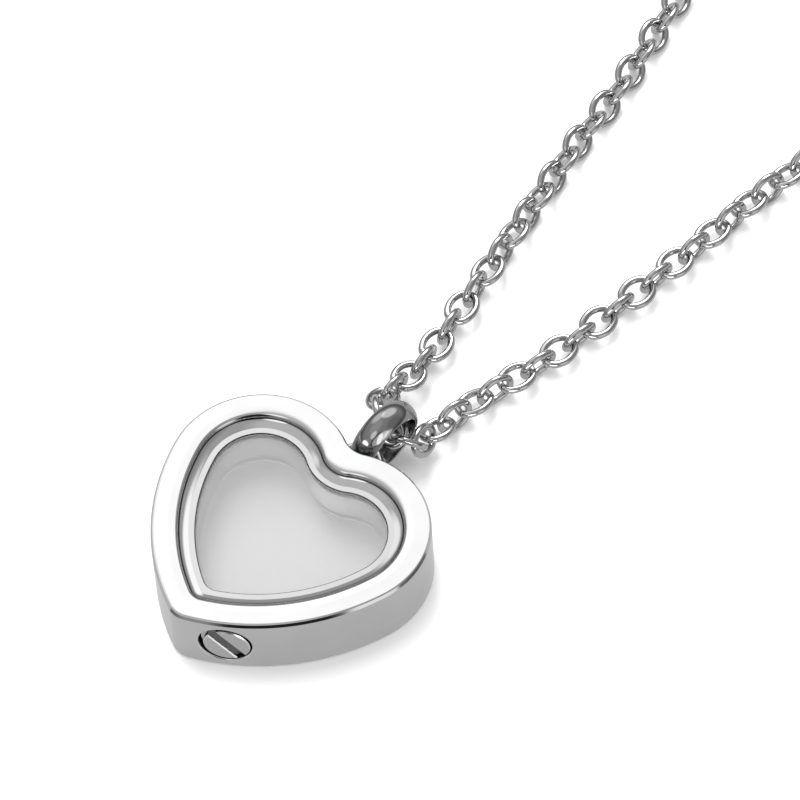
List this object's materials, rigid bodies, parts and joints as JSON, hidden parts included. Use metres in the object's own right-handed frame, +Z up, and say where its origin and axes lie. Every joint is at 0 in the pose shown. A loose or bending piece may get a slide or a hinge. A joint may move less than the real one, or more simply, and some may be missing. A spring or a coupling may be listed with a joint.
{
  "type": "keepsake urn pendant",
  "caption": "Heart-shaped glass-windowed keepsake urn pendant with a fill screw, hung by a ring bail on a cable-chain necklace with a clasp, lying face up.",
  "frame": {"origin": "middle of the heart-shaped case's outline, on the plane of its back face, which rests on the table", "axes": "+Z up out of the front window, +Y from the tip of the heart to its notch and on along the chain, +X to the right seen from the front"},
  "size_m": [0.06, 0.2306, 0.0071],
  "materials": {
    "polished_steel": "mirror polished",
    "dark_steel": "dark polished",
    "chain_steel": "polished",
    "clear_glass": "clear"
  },
  "bodies": {
    "pendant": {"case": "polished_steel", "front_glass": "clear_glass", "back_glass": "clear_glass", "bail": "dark_steel", "chain_left": "chain_steel", "chain_right": "chain_steel", "clasp": "chain_steel", "end_ring": "chain_steel"},
    "fill_screw": {"fill_screw": "polished_steel"}
  },
  "joints": [
    {"name": "fill_screw_slide", "type": "slide", "parent": "pendant", "child": "fill_screw", "axis": [0.5519, -0.8339, 0], "range_m": [0, 0.003]}
  ]
}
